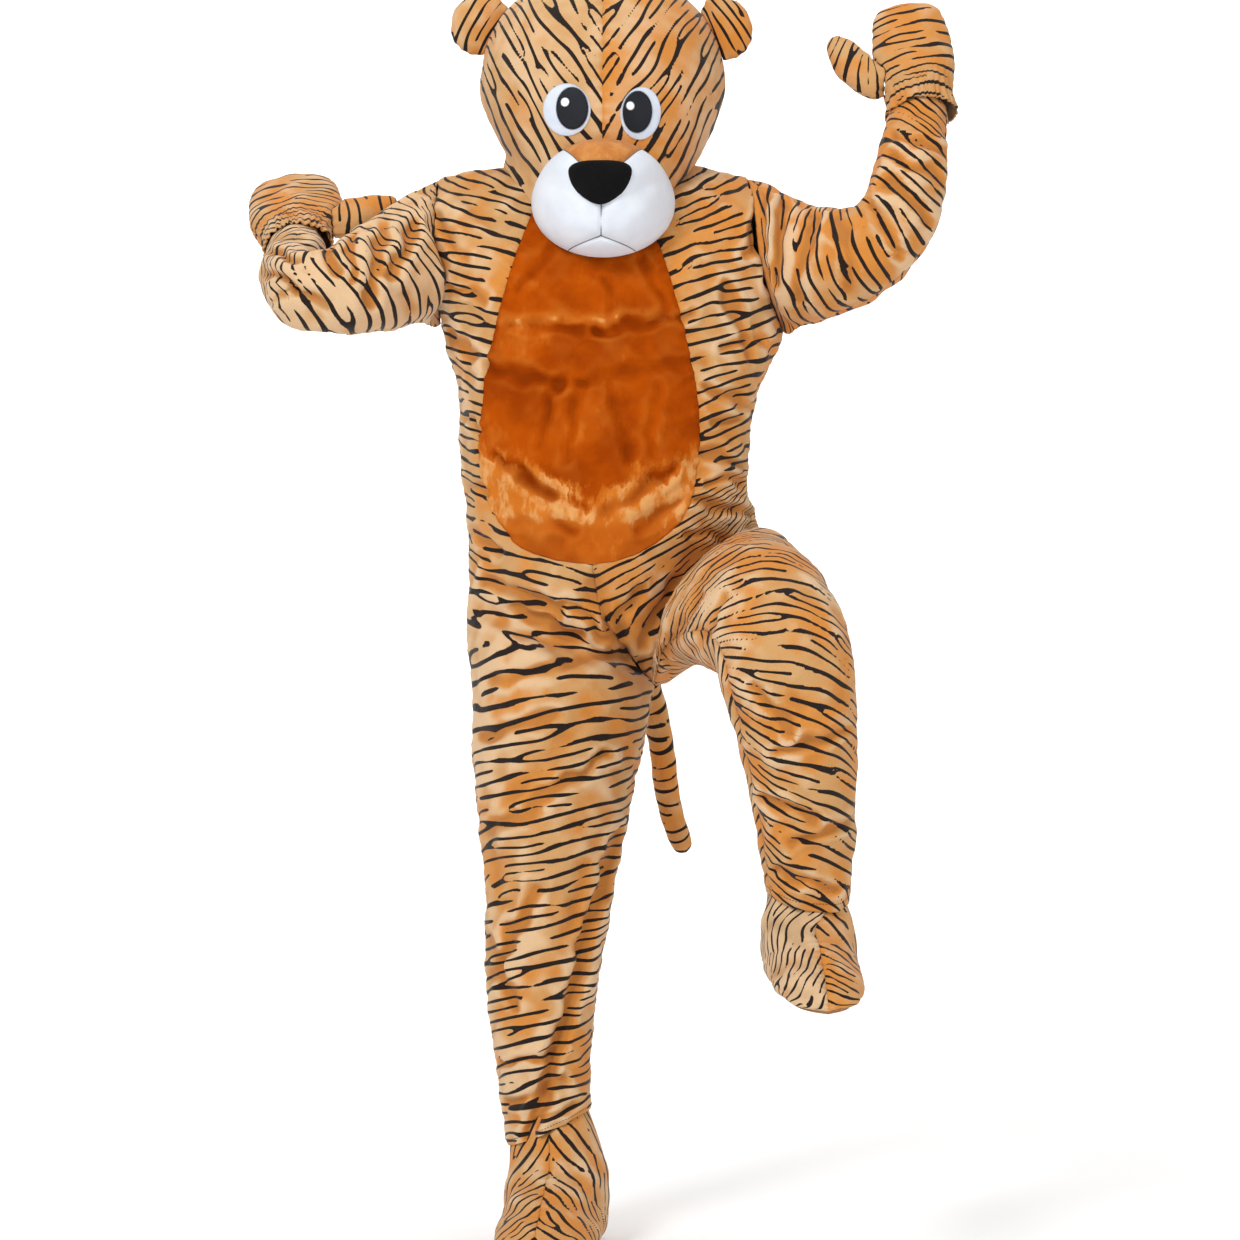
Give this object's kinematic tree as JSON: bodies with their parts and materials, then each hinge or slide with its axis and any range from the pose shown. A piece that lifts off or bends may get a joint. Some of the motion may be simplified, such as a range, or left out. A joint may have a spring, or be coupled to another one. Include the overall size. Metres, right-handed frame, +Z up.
{
  "type": "tiger mascot costume",
  "caption": "Worn-form plush tiger mascot costume: striped hollow jumpsuit with tail, egg-shaped tummy panel, round head with muzzle, mittens and boot covers, one knee raised",
  "frame": {"origin": "On the wearer's shoulder line between the shoulders, where the costume hangs", "axes": "+Z up, front faces -Y, the wearer's left toward +X"},
  "size_m": [0.9978, 0.6271, 1.7818],
  "materials": {
    "back_zip": "woven tape with closed zip teeth",
    "boot_inner_left": "short-pile plush",
    "boot_inner_right": "short-pile plush",
    "boot_outer_left": "short-pile plush",
    "boot_outer_right": "short-pile plush",
    "boot_sole_left": "short-pile plush",
    "boot_sole_right": "short-pile plush",
    "ear_left": "short-pile plush",
    "ear_right": "short-pile plush",
    "eye_white_left": "felt",
    "eye_white_right": "felt",
    "head_left": "short-pile plush",
    "head_right": "short-pile plush",
    "highlight_left": "felt",
    "highlight_right": "felt",
    "mitten_back_left": "short-pile plush",
    "mitten_back_right": "short-pile plush",
    "mitten_palm_left": "short-pile plush",
    "mitten_palm_right": "short-pile plush",
    "mitten_thumb_left": "short-pile plush",
    "mitten_thumb_right": "short-pile plush",
    "muzzle_chin": "short-pile plush",
    "muzzle_left": "short-pile plush",
    "muzzle_right": "short-pile plush",
    "nose": "short-pile plush",
    "nose_bridge": "short-pile plush",
    "pupil_left": "felt",
    "pupil_right": "felt",
    "sleeve_left": "short-pile plush",
    "sleeve_right": "short-pile plush",
    "suit_back_left": "short-pile plush",
    "suit_back_right": "short-pile plush",
    "suit_front_left": "short-pile plush",
    "suit_front_right": "short-pile plush",
    "tail": "short-pile plush",
    "tummy_panel": "short-pile plush",
    "zip_pull_tab": "satin nickel-coloured metal",
    "zip_slider": "satin nickel-coloured metal"
  },
  "bodies": {
    "costume": {"back_zip": "back_zip", "boot_inner_left": "boot_inner_left", "boot_inner_right": "boot_inner_right", "boot_outer_left": "boot_outer_left", "boot_outer_right": "boot_outer_right", "boot_sole_left": "boot_sole_left", "boot_sole_right": "boot_sole_right", "ear_left": "ear_left", "ear_right": "ear_right", "eye_white_left": "eye_white_left", "eye_white_right": "eye_white_right", "head_left": "head_left", "head_right": "head_right", "highlight_left": "highlight_left", "highlight_right": "highlight_right", "mitten_back_left": "mitten_back_left", "mitten_back_right": "mitten_back_right", "mitten_palm_left": "mitten_palm_left", "mitten_palm_right": "mitten_palm_right", "mitten_thumb_left": "mitten_thumb_left", "mitten_thumb_right": "mitten_thumb_right", "muzzle_chin": "muzzle_chin", "muzzle_left": "muzzle_left", "muzzle_right": "muzzle_right", "nose": "nose", "nose_bridge": "nose_bridge", "pupil_left": "pupil_left", "pupil_right": "pupil_right", "sleeve_left": "sleeve_left", "sleeve_right": "sleeve_right", "suit_back_left": "suit_back_left", "suit_back_right": "suit_back_right", "suit_front_left": "suit_front_left", "suit_front_right": "suit_front_right", "tail": "tail", "tummy_panel": "tummy_panel", "zip_slider": "zip_slider"},
    "pull_tab": {"zip_pull_tab": "zip_pull_tab"}
  },
  "joints": [
    {"name": "pull_tab_swing", "type": "hinge", "parent": "costume", "child": "pull_tab", "pos_m": [0.00728, 0.12914, -0.06198], "axis": [1, 0, 0], "range_deg": [0, 160]}
  ]
}
